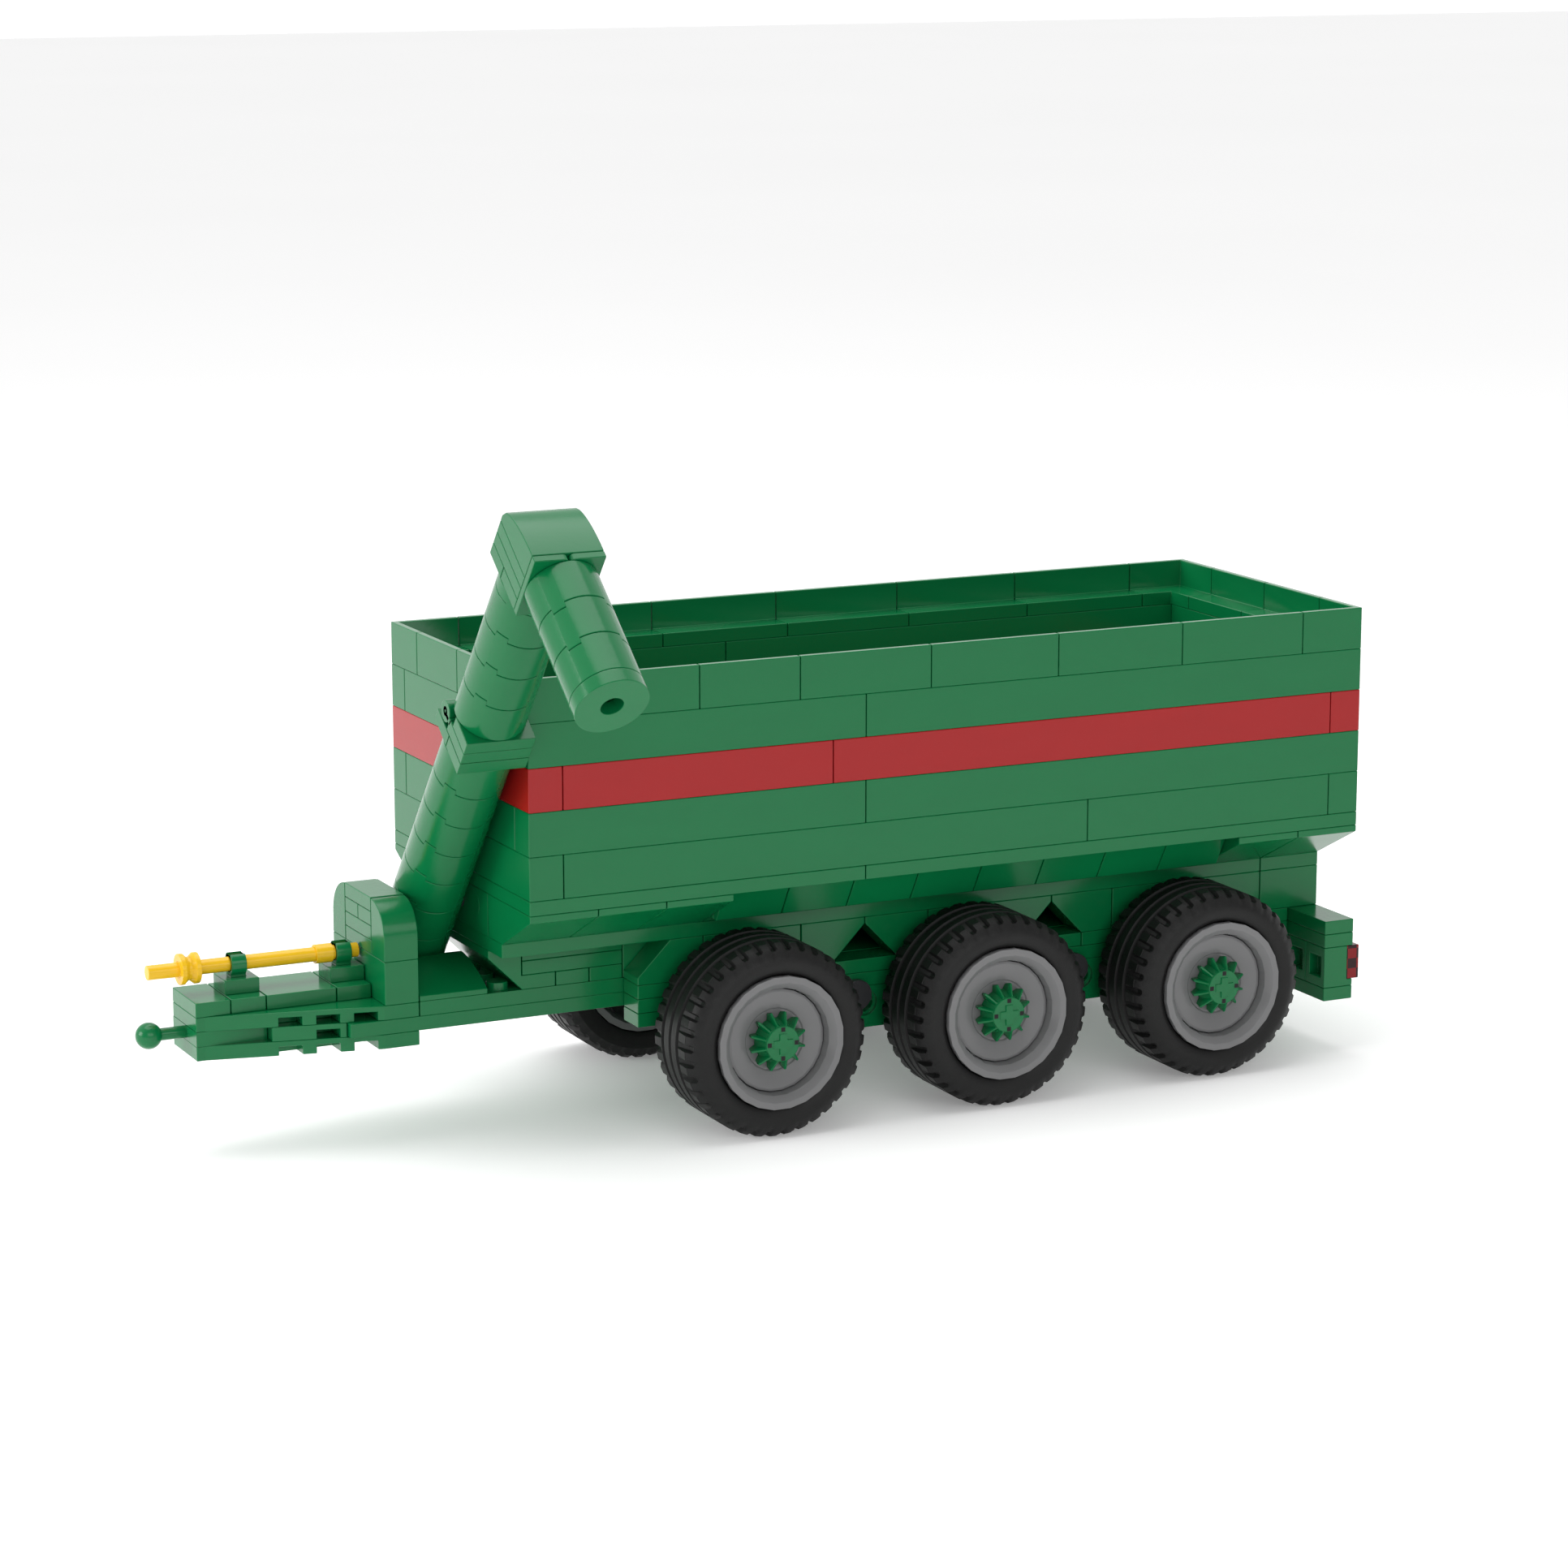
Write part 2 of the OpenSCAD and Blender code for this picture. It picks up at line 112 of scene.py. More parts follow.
class Shader:
    """A material's node tree with its Principled shader."""

    def __init__(self, name):
        self.material = bpy.data.materials.new(name)
        self.material.use_nodes = True
        self.tree = self.material.node_tree
        self.surface = self.tree.nodes["Principled BSDF"]

    def node(self, kind, settings=None, inputs=None, output=0):
        made = self.tree.nodes.new(kind)
        for key, value in (settings or {}).items():
            setattr(made, key, value)
        for key, value in (inputs or {}).items():
            self.plug(made.inputs[key], value)
        return Wire(self, made.outputs[output])

    def plug(self, socket, value):
        if isinstance(value, Wire):
            self.tree.links.new(value.socket, socket)
        else:
            socket.default_value = value

    def set(self, **sockets):
        for key, value in sockets.items():
            self.plug(self.surface.inputs[key.replace("_", " ")], value)

    def noise(self, scale, detail=2.0, stretch=(1, 1, 1)):
        """Noise on object coordinates, in the part's own frame."""
        place = self.node("ShaderNodeTexCoord", output="Object")
        place = self.node("ShaderNodeMapping", {}, {"Vector": place, "Scale": stretch})
        return self.node("ShaderNodeTexNoise", {}, {"Vector": place, "Scale": scale, "Detail": detail})

    def mix(self, factor, low, high):
        made = self.tree.nodes.new("ShaderNodeMix")
        made.data_type = "RGBA"
        self.plug(made.inputs["Factor"], factor)
        made.inputs[6].default_value = (*low, 1)
        made.inputs[7].default_value = (*high, 1)
        return Wire(self, made.outputs[2])

    def bump(self, height, distance):
        return self.node("ShaderNodeBump", {}, {"Strength": 1.0, "Distance": distance, "Height": height})


def moulded_plastic(name, colour, rough=0.2, shade=0.05, grain=0.004):
    """Injection-moulded gloss plastic: faint flow clouds in colour and gloss, and a fine orange-peel skin."""
    s = Shader(name)
    low = [c * (1 - shade) for c in colour]
    high = [min(1, c * (1 + shade)) for c in colour]
    clouds = s.noise(70, 3, (1, 1, 2.5))
    s.set(Base_Color=s.mix(clouds, low, high), Roughness=rough - 0.03 + 0.06 * s.noise(130, 2),
          Normal=s.bump(s.noise(900, 2), grain * MM * 4))
    s.set(IOR=1.38)
    return s.material


def tyre_rubber():
    """Matt rubber with a dusty bloom and a fine pebble."""
    s = Shader("tyre_rubber")
    s.set(Base_Color=s.mix(s.noise(120, 4), (0.004, 0.004, 0.004), (0.007, 0.007, 0.007)),
          Roughness=0.42 + 0.16 * s.noise(300, 3), Normal=s.bump(s.noise(2200, 2), 0.04 * MM))
    s.set(IOR=1.35)
    return s.material


def lamp_plastic():
    """Clear red moulding over a prismatic back, given as a checker of dark red and near-black cells: the red
    is the lamp's own colour, the near-black cells are painted shade of the prism facets.
    """
    s = Shader("lamp_clear_red")
    prism_facet_shade = s.node("ShaderNodeTexChecker", {}, {"Vector": s.node("ShaderNodeTexCoord", output="Object"),
                                                "Scale": 420.0}, output="Fac")
    # the checker's near-black cells are painted shade of the prism facets
    s.set(Base_Color=s.mix(prism_facet_shade, (0.20, 0.001, 0.003), (0.02, 0.0, 0.001)),
          Roughness=0.08 + 0.04 * s.noise(200))
    s.set(IOR=1.35)
    return s.material


FINISH = {
    "green": moulded_plastic("green_plastic", (0.0015, 0.142, 0.042)),
    "red": moulded_plastic("red_plastic", (0.33, 0.006, 0.007)),
    "yellow": moulded_plastic("yellow_plastic", (0.78, 0.46, 0.012)),
    "rim_grey": moulded_plastic("rim_grey_plastic", (0.165, 0.165, 0.168), 0.22),
    "dark_grey": moulded_plastic("dark_grey_plastic", (0.03, 0.031, 0.033), 0.28),
    "lamp": lamp_plastic(),
    "tyre": tyre_rubber(),
}


# ---------------------------------------------------------------- mesh helpers
def piece(name, points, faces, stands_for, slot=None, sharp=24, edge=0.0):
    """One object from points (n, 3) and faces; it rides and is coloured as the CAD nodes it stands for."""
    mesh = bpy.data.meshes.new(name)
    mesh.from_pydata(np.asarray(points).tolist(), [], [list(map(int, f)) for f in faces])
    mesh.validate()
    obj = bpy.data.objects.new(name, mesh)
    bpy.context.collection.objects.link(obj)
    finish(obj, stands_for, slot, sharp, edge)
    return obj


def finish(obj, stands_for, slot=None, sharp=24, edge=0.0):
    """Material, outward faces, edges sharp above an angle in degrees, softened brick edges, body and slot."""
    slot = slot or SLOT_OF[stands_for[0]]
    obj.data.materials.clear()
    obj.data.materials.append(FINISH[slot])
    bm = bmesh.new()
    bm.from_mesh(obj.data)
    bmesh.ops.recalc_face_normals(bm, faces=bm.faces)
    bm.to_mesh(obj.data)
    bm.free()
    obj.data.polygons.foreach_set("use_smooth", np.full(len(obj.data.polygons), True))
    obj.data.set_sharp_from_angle(angle=math.radians(sharp))
    if edge:
        soft = obj.modifiers.new("softened_edges", "BEVEL")
        soft.width, soft.segments, soft.limit_method = edge, 2, "ANGLE"
        soft.angle_limit = math.radians(30)
        soft.use_clamp_overlap = True
        soft.harden_normals = True
    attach(obj, BODY_OF[stands_for[0]])
    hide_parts(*stands_for)


def surface(points, wrap_u=True, wrap_v=True):
    """Points on a (u, v) grid become quads; a wrapped direction closes on itself."""
    nu, nv = points.shape[:2]
    index = np.arange(nu * nv).reshape(nu, nv)
    right = np.roll(index, -1, 0)
    quads = np.stack([index, right, np.roll(right, -1, 1), np.roll(index, -1, 1)], -1)
    quads = quads[:nu if wrap_u else nu - 1, :nv if wrap_v else nv - 1]
    return points.reshape(-1, 3), quads.reshape(-1, 4)


def join(parts):
    """Several (points, faces) pairs as one, with the face indices shifted."""
    points, faces, start = [], [], 0
    for p, f in parts:
        points.append(p)
        faces += [[i + start for i in face] for face in (f.tolist() if isinstance(f, np.ndarray) else f)]
        start += len(p)
    return np.concatenate(points), faces


BOX_FACES = np.array([[0, 1, 3, 2], [4, 6, 7, 5], [0, 4, 5, 1],
                      [2, 3, 7, 6], [0, 2, 6, 4], [1, 5, 7, 3]])


def boxes(low, high):
    """Axis-aligned boxes between corner arrays (n, 3): the eight corners are every mix of low and high."""
    low, high = np.atleast_2d(low), np.atleast_2d(high)
    bit = np.array([[i >> 2 & 1, i >> 1 & 1, i & 1] for i in range(8)])
    points = low[:, None] + (high - low)[:, None] * bit
    faces = BOX_FACES + 8 * np.arange(len(low))[:, None, None]
    return points.reshape(-1, 3), faces.reshape(-1, 4)


def bricks(name, rows, stands_for):
    """Bricks given as (X, Y, Z, studs along X, studs along Y, plates high) on the stud grid."""
    rows = np.array(rows, float)
    low = rows[:, :3] * [U, U, H] + GRID + [GAP, GAP, 0.02 * MM]
    high = (rows[:, :3] + rows[:, 3:]) * [U, U, H] + GRID - [GAP, GAP, 0.02 * MM]
    return piece(name, *boxes(low, high), stands_for, edge=EDGE)


def mirrored(rows):
    """Grid rows and their twins on the far side."""
    return rows + [(x, -y - ny, z, nx, ny, nz) for x, y, z, nx, ny, nz in rows]


def moulded(node, edge=EDGE, angle=1.0):
    """A CAD node's own shape with its triangles merged into flat faces and its edges softened."""
    source = frame["nodes"][node]
    bm = bmesh.new()
    bm.from_mesh(source.data)
    bmesh.ops.remove_doubles(bm, verts=bm.verts, dist=1e-6)
    bmesh.ops.dissolve_limit(bm, angle_limit=math.radians(angle), verts=bm.verts, edges=bm.edges)
    mesh = bpy.data.meshes.new(node + "_moulded")
    bm.to_mesh(mesh)
    bm.free()
    obj = bpy.data.objects.new(node + "_moulded", mesh)
    bpy.context.collection.objects.link(obj)
    finish(obj, [node], edge=edge)
    return obj


def turned(profile, around, n=96, phase=0.0):
    """A closed (radius, height) profile carried round an axis.

    around maps (radius*cos, radius*sin, height) to the part.
    """
    profile = np.asarray(profile, float)
    angle = phase + np.arange(n) * 2 * math.pi / n
    x = profile[None, :, 0] * np.cos(angle)[:, None]
    y = profile[None, :, 0] * np.sin(angle)[:, None]
    z = np.broadcast_to(profile[None, :, 1], x.shape)
    return surface(around(np.stack([x, y, z], -1)))


def rounded(profile, r, steps=3):
    """A closed polygon with each corner cut back by r along a quadratic arc."""
    p = np.asarray(profile, float)
    out = []
    for a, b, c in zip(np.roll(p, 1, 0), p, np.roll(p, -1, 0)):
        la, lc = np.linalg.norm(a - b), np.linalg.norm(c - b)
        s, e = b + (a - b) * min(r / la, 0.45), b + (c - b) * min(r / lc, 0.45)
        for t in np.linspace(0, 1, steps + 1):
            out.append((1 - t) ** 2 * s + 2 * t * (1 - t) * b + t * t * e)
    return np.array(out)


# ---------------------------------------------------------------- hopper and chassis
def moved_to(centre):
    """Maps a profile turned about the vertical to the given centre."""
    def place(p):
        return p + centre
    return place


def studs(centres, r=2.4 * MM, h=1.7 * MM, n=24):
    """Round studs: a cap with a softened rim on each centre (m, 3), all computed as one array."""
    rim = 0.18 * MM
    profile = np.array([[0.02 * MM, -0.1 * MM], [r, -0.1 * MM], [r, h - rim],
                        [r - rim * 0.3, h - rim * 0.3], [r - rim, h], [0.02 * MM, h]])
    return join([turned(profile, moved_to(c), n) for c in centres])


def hopper():
    for node in ("rim_panels_near", "rim_panels_far", "rim_panels_ends", "wall_course_2", "wall_stripe",
                 "wall_course_4", "wall_course_5", "slopes_front", "slopes_rear", "side_slopes_near",
                 "side_slopes_far", "side_brackets", "pivot_brick", "pivot_pins", "auger_pivot_pin",
                 "core_bricks"):
        moulded(node)
    bricks("floor_plates_edged", [(0, -5, -16, 10, 10, 1), (10, -5, -16, 16, 10, 1)], ["floor_plates"])
    x, y = np.meshgrid(np.arange(1.5, 25), np.arange(-3.5, 4))
    centres = np.stack([x.ravel() * U, y.ravel() * U, np.full(x.size, -15 * H)], -1) + GRID
    piece("floor_studs", *studs(centres, n=16), ["floor_plates"], sharp=30)


def chassis():
    for node in ("deck_plates", "front_block", "wedge_upper", "wedge_middle", "wedge_lower", "hitch_ball",
                 "tongue_tiles", "clip_plates", "gearbox_base", "gearbox_caps", "shaft_cover",
                 "frame_upper_near", "frame_upper_far", "frame_beams", "frame_pins", "rear_block",
                 "bumper_bricks", "tail_lamps", "spine_upper", "spine_lower"):
        moulded(node, edge=EDGE if node != "hitch_ball" else 0)
    bricks("front_plates_stack", [(1, -2, -21, 3, 4, 1), (1, -2, -22, 3, 4, 1), (2, -2, -23, 1, 4, 1),
                                  (3, -2, -23, 1, 4, 1), (4, -2, -23, 2, 4, 3)], ["front_plates"])
    bricks("gearbox_plate_stack", [(-3, -1, -17, 1, 2, 1), (-3, -1, -18, 1, 1, 1), (-3, 0, -18, 1, 1, 1),
                                   (-3, -1, -19, 1, 2, 1), (-3, -1, -20, 1, 2, 1)], ["gearbox_plates"])
    bricks("frame_plate_layers", mirrored([(4, -3, -24, 14, 1, 1), (18, -3, -24, 7, 1, 1),
                                           (4, -3, -25, 21, 1, 1), (4, -3, -26, 2, 1, 1)]), ["frame_plates"])
    bricks("bumper_plate_layers", [(25, -5, -24, 1, 10, 1), (25, -5, -25, 1, 10, 1),
                                   (25, -5, -29, 1, 10, 1)], ["bumper_plates"])


def drive():
    for node in ("drive_shaft", "drive_bush", "drive_sleeve"):
        moulded(node, edge=0.1 * MM, angle=0.2)


# ---------------------------------------------------------------- wheels
def on_axle(i, side):
    """Maps a wheel's own (along x, up, out) coordinates to the part, out being away from the centre line."""
    def place(p):
        x, z, out = p[..., 0], p[..., 1], p[..., 2]
        return np.stack([AXLES[i] + x, side * out, AXLE_Z + z], -1)
    return place


def tread_tyre(i, side):
    """Radius over (angle, across): a rounded, four-grooved section, its shoulders cut by a square wave."""
    blocks, per = 38, 8
    n = blocks * per
    y = np.array([26.6, 25.55, 25.2, 25.3, 26.55, 28.15, 28.2, 31.6, 31.9, 32.7, 33.0, 35.35, 35.7, 36.3,
                  36.65, 38.95, 39.3, 40.1, 40.4, 43.8, 43.85, 45.4, 46.5, 46.9, 46.8, 46.2, 45.6, 45.5]) * MM
    r = np.array([14.9, 15.2, 16.2, 19.0, 20.9, 21.7, 21.8, 21.8, 21.0, 21.0, 21.8, 21.8, 21.0, 21.0, 21.8,
                  21.8, 21.0, 21.0, 21.8, 21.8, 21.7, 20.9, 19.2, 18.2, 16.4, 15.3, 15.1, 14.9]) * MM
    wave = (np.arange(n) % per >= per * 0.55).astype(float)
    notch = np.zeros(len(y))
    for k, depth in {4: 0.55, 5: 1.15, 6: 1.2, 19: 1.2, 20: 1.15, 21: 0.55}.items():
        notch[k] = depth * MM
    angle = np.arange(n) * 2 * math.pi / n
    skew = np.where((y > 40 * MM) | (y < 31 * MM), 0.5, 0) * np.abs(y - 36 * MM) / (30 * MM)
    radius = r[None, :] - wave[:, None] * notch[None, :]
    a = angle[:, None] + skew[None, :] * 0.1
    points = np.stack([radius * np.cos(a), radius * np.sin(a), np.broadcast_to(y, radius.shape)], -1)
    return surface(on_axle(i, side)(points))


def wheel_rim(i, side):
    """A 24-sided rim: flat lip, stepped hollow ring, thin gap, and a shallow dish round the hub."""
    lip = rounded([(15.0, 45.9), (15.0, 47.3), (13.5, 47.3), (12.1, 45.9),
                   (11.75, 44.2), (11.75, 40), (14.4, 40), (14.4, 45.9)], 0.12, 2) * MM
    dish = rounded([(2.4, 40.5), (11.55, 40.5), (11.55, 44.1), (10.9, 44.25),
                    (7.2, 43.5), (6.9, 43.2), (2.4, 43.2)], 0.1, 2) * MM
    barrel = rounded([(11.6, 41), (14.5, 41), (14.5, 27.4), (15, 27), (15, 25.7),
                      (13.4, 25.7), (12.6, 27.5)], 0.1, 2) * MM
    boss = rounded([(2.4, 24.45), (4.4, 24.45), (4.4, 41), (2.4, 41)], 0.1, 2) * MM
    place = on_axle(i, side)
    return [turned(p, place, 24, math.pi / 24) for p in (lip, dish, barrel)] + [turned(boss, place, 32)]


def hub_gear(i, side):
    """A bevel gear: its radius goes between a low and a high profile as a pointed wave of the angle."""
    teeth, per = 12, 16
    n = teeth * per
    angle = np.arange(n) * 2 * math.pi / n
    phase = (np.arange(n) % per) / per - 0.5
    tooth = np.clip(1.3 - 5.0 * np.abs(phase), 0, 1)
    out = np.array([43.3, 43.3, 44.9, 45.3, 47.2, 47.3, 47.62, HUB_FACE / MM, HUB_FACE / MM]) * MM
    low = np.array([0.05, 4.9, 4.7, 4.5, 3.95, 3.95, 3.95, 3.8, 0.05]) * MM
    high = np.array([0.05, 6.3, 6.75, 6.75, 4.1, 3.95, 3.95, 3.8, 0.05]) * MM
    radius = low[None] + (high - low)[None] * tooth[:, None]
    points = np.stack([radius * np.cos(angle)[:, None], radius * np.sin(angle)[:, None],
                       np.broadcast_to(out, radius.shape)], -1)
    return surface(on_axle(i, side)(points))


def hub_notch_shade_boxes(i, side):
    """Four small near-black boxes at the tips of the cross, standing a hair out of the hub's face: painted
    shade for the hollows of the notches.
    """
    size, proud, depth = 1.0 * MM, 0.02 * MM, 1.27 * MM
    low = np.array([[2.75, -0.5], [-0.5, 2.75], [-3.75, -0.5], [-0.5, -3.75]]) * MM
    corners = np.concatenate([low, np.full((4, 1), HUB_FACE + proud - depth)], 1)
    points, faces = boxes(corners, corners + [size, size, depth])
    return on_axle(i, side)(points), faces


def cross_rod(i):
    """The axle: a plus-shaped section with cut inner corners, carried along the whole width."""
    w, r = 0.9 * MM, 2.35 * MM
    quarter = np.array([(r, -w), (r, w), (w + 0.15 * MM, w), (w, w + 0.15 * MM)])
    turns = [np.array([[math.cos(a), -math.sin(a)], [math.sin(a), math.cos(a)]])
             for a in np.arange(4) * math.pi / 2]
    section = np.concatenate([quarter @ turn.T for turn in turns])
    ends = np.array([-48.05, -47.8, 47.8, 48.05]) * MM
    scale = np.array([0.93, 1, 1, 0.93])
    xz = section[:, None] * scale[None, :, None]
    along = np.broadcast_to(ends, xz.shape[:2])
    points = np.stack([AXLES[i] + xz[..., 0], along, AXLE_Z + xz[..., 1]], -1)
    shape, quads = surface(points, True, False)
    m = len(section)
    caps = [list(range(0, 4 * m, 4)), list(range(3, 4 * m, 4))[::-1]]
    return shape, quads.tolist() + caps


def wheels():
    both = (-1, 1)
    for i in range(3):
        number = i + 1
        rod = [f"axles_rod_{number}"]
        tyres = join([tread_tyre(i, side) for side in both])
        rims = join(wheel_rim(i, -1) + wheel_rim(i, 1))
        piece(f"tread_tyres_{number}", *tyres, [f"tyres_{number}"], sharp=30)
        piece(f"stepped_rims_{number}", *rims, [f"rims_{number}"], sharp=14)
        piece(f"hub_gears_{number}", *join([hub_gear(i, side) for side in both]), rod)
        # near-black boxes in the tyre rubber: painted shade where the hub's notches are hollow
        piece(f"hub_notch_painted_shade_{number}", *join([hub_notch_shade_boxes(i, side) for side in both]), rod, slot="tyre")
        piece(f"cross_axle_{number}", *cross_rod(i), rod)


# ---------------------------------------------------------------- auger
def leaned(p):
    """Upright auger coordinates about the swing pivot, turned by the lean and moved to the pivot."""
    c, s = math.cos(LEAN), math.sin(LEAN)
    y, z = p[..., 1], p[..., 2]
    return np.stack([p[..., 0], y * c - z * s, y * s + z * c], -1) + PIVOT


def along_spout(p):
    """Tube coordinates laid along -y of the upright auger, at the spout's height."""
    return leaned(np.stack([p[..., 0], -p[..., 2], p[..., 1] + SPOUT_HEIGHT], -1))


def ring(z0, place, tab_low=True, tab_high=True, start=36):
    """A round brick with four square tabs round each end, shifted alike so that neighbours interlock."""
    pitch = 2 * math.pi / RING_TABS
    start = math.radians(start)
    edges = np.concatenate([[c - TAB_HALF - TAB_RAMP, c - TAB_HALF, c + TAB_HALF, c + TAB_HALF + TAB_RAMP]
                            for c in np.arange(RING_TABS) * pitch + start])
    angle = np.sort(np.concatenate([edges, np.arange(64) * 2 * math.pi / 64]) % (2 * math.pi))
    angle = angle[np.concatenate([[True], np.diff(angle) > 1e-4])]
    near = np.abs((angle - start + pitch / 2) % pitch - pitch / 2)
    tab = TAB_H * np.clip((TAB_HALF + TAB_RAMP - near) / TAB_RAMP, 0, 1)
    r, soft = TUBE_R, RING_EDGE
    profile = np.array([(RING_BORE, 0), (r - soft, 0), (r - soft * 0.3, soft * 0.3), (r, soft),
                        (r, RING_H - soft), (r - soft * 0.3, RING_H - soft * 0.3), (r - soft, RING_H),
                        (RING_BORE, RING_H)])
    low_end = profile[:, 1] < RING_H / 2
    profile[:, 1] += np.where(low_end, RING_GAP, -RING_GAP)
    weight = np.where(low_end, float(tab_low), float(tab_high))
    x = profile[None, :, 0] * np.cos(angle)[:, None]
    y = profile[None, :, 0] * np.sin(angle)[:, None]
    z = z0 + profile[None, :, 1] + tab[:, None] * weight[None, :]
    return surface(place(np.stack([x, y, z], -1)))


def plug(z0, place, bore):
    """A plain round plate with softened rims and a hole of the given radius."""
    profile = rounded([(bore, z0), (TUBE_R, z0), (TUBE_R, z0 + H), (bore, z0 + H)], RING_EDGE, 2)
    return turned(profile, place, 72)


def tube_core(z0, z1, place):
    """A core that closes the tube, so that no light shows at the joints."""
    inner, outer = 0.1 * MM, 7.2 * MM
    return turned(np.array([(inner, z0), (outer, z0), (outer, z1), (inner, z1)]), place, 32)


def auger():
    inset = 0.3 * MM    # the cores stop short of the ends
    lower = [ring(LOWER_BASE + k * RING_H, leaned, k > 0, k < 6) for k in range(7)]
    lower.append(tube_core(LOWER_BASE + inset, LOWER_TOP - inset, leaned))
    piece("lower_tube_rings", *join(lower), ["auger_lower_tube"], sharp=12)
    upper = [ring(UPPER_BASE + k * RING_H, leaned, k > 0, k < 4) for k in range(4)]
    upper_end = UPPER_BASE + 4 * RING_H
    upper.append(plug(upper_end, leaned, 1 * MM))
    upper.append(tube_core(UPPER_BASE + inset, upper_end + H - inset, leaned))
    piece("upper_tube_rings", *join(upper), ["auger_upper_tube"], sharp=12)
    spout = [ring(SPOUT_BASE + k * RING_H, along_spout, k > 0, k < 2, 45) for k in range(3)]
    spout_end = SPOUT_BASE + 3 * RING_H
    spout.append(plug(spout_end, along_spout, 2.4 * MM))
    spout.append(tube_core(SPOUT_BASE + inset, spout_end - 0.4 * MM, along_spout))
    piece("spout_rings", *join(spout), ["spout_tube"], sharp=12)
    moulded("collar_lower")
    collar_upper()
    head()
    moulded("head_cap")


def slabs(name, rows, node):
    """Flat plates of the auger: rows of (x0, x1, y0, y1, z0, z1) in upright coordinates, in millimetres."""
    rows = np.array(rows) * MM
    points, faces = boxes(rows[:, [0, 2, 4]], rows[:, [1, 3, 5]])
    return piece(name, leaned(points), faces, [node], edge=EDGE)


def on_hinge(x0):
    """Maps (across, across, along x) coordinates to the fold hinge, starting x0 from the tube's axis."""
    def place(p):
        return leaned(np.stack([p[..., 2] + x0, p[..., 0] + HINGE_Y, p[..., 1] + HINGE_Z], -1))
    return place


def collar_upper():
    r = TUBE_R / MM
    slabs("collar_plates", [(-r, r, -7.9, 1.85, 56.12, 59.18), (-r, r, -7.9, -0.1, 59.22, 62.38),
                            (-r, -4.1, 1.0, 4.6, 57.8, 59.18), (4.1, r, 1.0, 4.6, 57.8, 59.18)],
          "collar_upper")
    barrel = rounded([(0.2, 0), (2.4, 0), (2.4, 3.7), (0.2, 3.7)], 0.15, 2) * MM
    pin = rounded([(0.1, 0), (1.2, 0), (1.2, 15.6), (0.1, 15.6)], 0.1, 2) * MM
    parts = [turned(barrel, on_hinge(-TUBE_R), 32), turned(barrel, on_hinge(4.1 * MM), 32),
             turned(pin, on_hinge(-TUBE_R), 20)]
    piece("collar_barrels", *join(parts), ["collar_upper"], sharp=15)


def head():
    r = TUBE_R / MM
    slabs("head_plates", [(-r, r, -7.9, 0.78, 104.02, 107.15), (-r, r, 0.98, 7.9, 104.02, 107.15),
                          (-r, r, -7.9, 7.9, 107.2, 110.35), (-r, r, -7.9, 7.9, 110.4, 113.58)],
          "head_block")
    corner = np.linspace(0, math.pi / 2, 7)
    soft = 1.2
    x0, x1, z0, z1 = 0.1, r, 104.0, 120.0
    across, up = soft - soft * np.sin(corner), soft - soft * np.cos(corner)
    outline = np.concatenate([[(x1, z0)], [(x1, z1)], np.stack([x0 + across, z1 - up], -1),
                              np.stack([x0 + up, z0 + across], -1)])
    m = len(outline)
    caps = [list(range(0, 2 * m, 2)), list(range(1, 2 * m, 2))[::-1]]
    sides = []
    for sign in (-1, 1):
        faces_y = [np.stack([outline[:, 0] * sign, np.full(m, y), outline[:, 1]], -1) for y in (-9.58, -8.0)]
        points, quads = surface(leaned(np.stack(faces_y, 1) * MM), True, False)
        sides.append((points, quads.tolist() + caps))
    piece("head_bracket_slabs", *join(sides), ["head_block"], edge=EDGE)


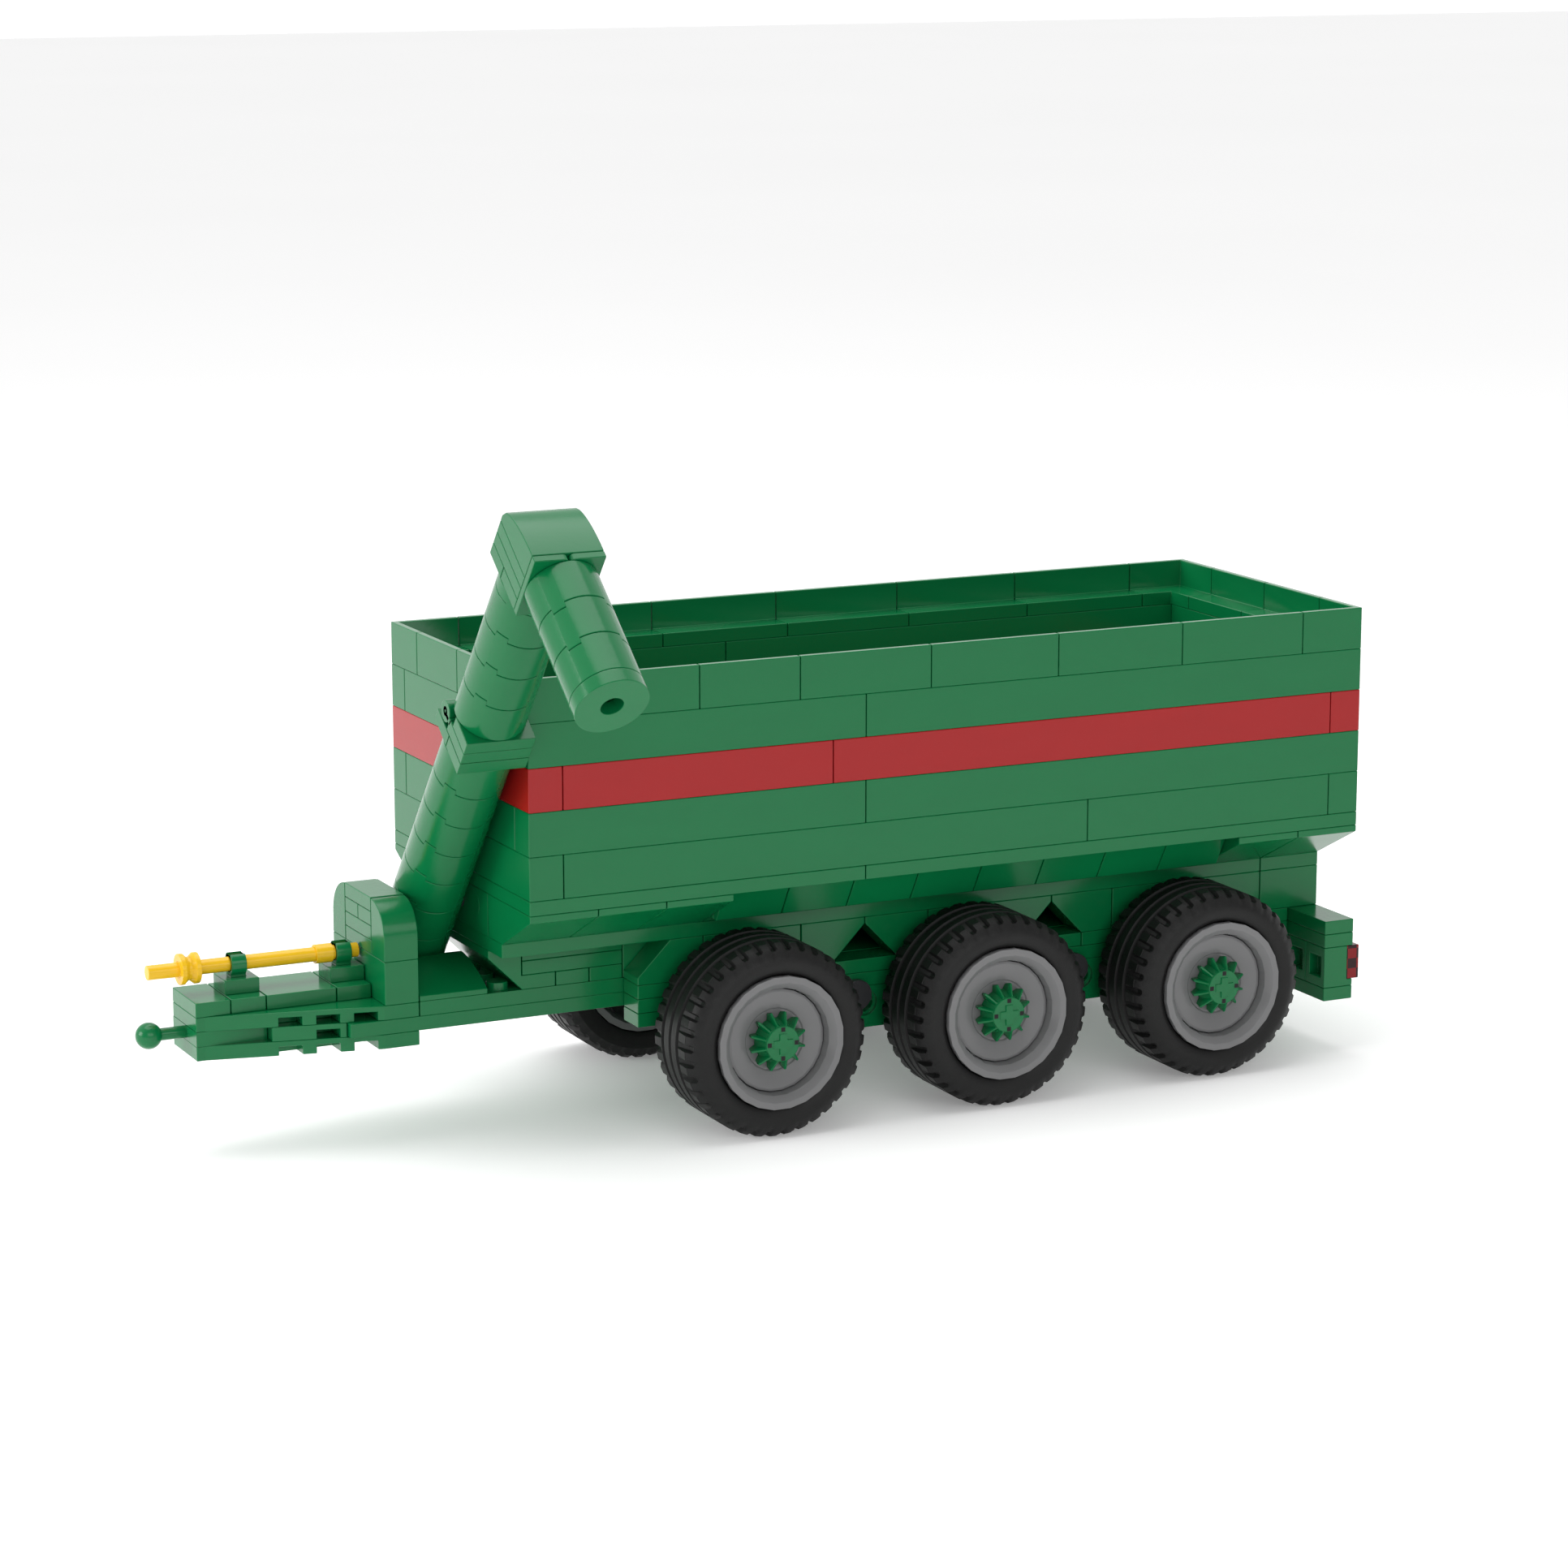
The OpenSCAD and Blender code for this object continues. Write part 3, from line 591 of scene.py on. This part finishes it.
# ---------------------------------------------------------------- stage
def stage():
    ground = AXLE_Z - 21.8 * MM
    bpy.ops.mesh.primitive_plane_add(size=12, location=(0, 0, ground))
    floor = bpy.context.object
    floor.name = "studio_floor"
    s = Shader("pale_floor")
    s.set(Base_Color=s.mix(s.noise(2, 2), (0.86, 0.86, 0.86), (0.9, 0.9, 0.9)),
          Roughness=0.8 + 0.05 * s.noise(5))
    s.set(Emission_Color=(1, 1, 1, 1), Emission_Strength=0.2)
    floor.data.materials.append(s.material)
    floor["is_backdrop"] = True

    def softbox(name, place, target, size, power):
        data = bpy.data.lights.new(name, "AREA")
        data.shape, data.size, data.size_y, data.energy = "RECTANGLE", size[0], size[1], power
        lamp = bpy.data.objects.new(name, data)
        place, target = np.array(place, float), np.array(target, float)
        back = (place - target) / np.linalg.norm(place - target)
        right = np.cross([0, 0, 1], back)
        right /= np.linalg.norm(right)
        turn = np.stack([right, np.cross(back, right), back], 1)
        lamp.matrix_world = Matrix.Translation(place) @ Matrix(turn.tolist()).to_4x4()
        bpy.context.collection.objects.link(lamp)

    softbox("top_light", (0.1, 0.1, 0.9), (0.15, 0, 0), (0.9, 0.7), 5)
    softbox("side_fill", (0.05, -1.3, 0.55), (0.15, 0, 0.02), (1.2, 0.6), 5)
    softbox("front_fill", (-1.3, 0.15, 0.45), (0.05, 0, 0.05), (0.8, 0.6), 9)
    world = bpy.data.worlds.new("soft_studio")
    bpy.context.scene.world = world
    world.use_nodes = True
    tree = world.node_tree
    sky = tree.nodes["Background"]
    way = tree.nodes.new("ShaderNodeTexCoord")
    across = tree.nodes.new("ShaderNodeSeparateXYZ")
    ramp = tree.nodes.new("ShaderNodeMapRange")
    ramp.inputs["From Min"].default_value, ramp.inputs["From Max"].default_value = -0.5, 0.3
    ramp.inputs["To Min"].default_value, ramp.inputs["To Max"].default_value = DIM_SIDE, BRIGHT_SIDE
    tree.links.new(way.outputs["Generated"], across.inputs["Vector"])
    tree.links.new(across.outputs["Y"], ramp.inputs["Value"])
    tree.links.new(ramp.outputs["Result"], sky.inputs["Strength"])
    sky.inputs["Color"].default_value = (1, 1, 1, 1)
    bpy.context.scene.view_settings.view_transform = "Standard"


def camera():
    data = bpy.data.cameras.new("camera")
    data.lens, data.sensor_width = 100.05, 36
    data.clip_start, data.clip_end = 0.01, 50
    cam = bpy.data.objects.new("camera", data)
    az, el = CAMERA_TURN, CAMERA_RISE
    back = (math.sin(az) * math.cos(el), -math.cos(az) * math.cos(el), math.sin(el))
    right = (math.cos(az), math.sin(az), 0)
    up = np.cross(back, right)
    turn = np.stack([right, up, back], 1)
    cam.matrix_world = Matrix.Translation(CAMERA_PLACE) @ Matrix(turn.tolist()).to_4x4()
    bpy.context.collection.objects.link(cam)
    bpy.context.scene.camera = cam


hopper()
chassis()
drive()
wheels()
auger()
stage()
camera()

plain = lambda box: [[float(v) for v in corner] for corner in box]
{"cad": plain(cad_box), "visual": plain(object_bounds())}
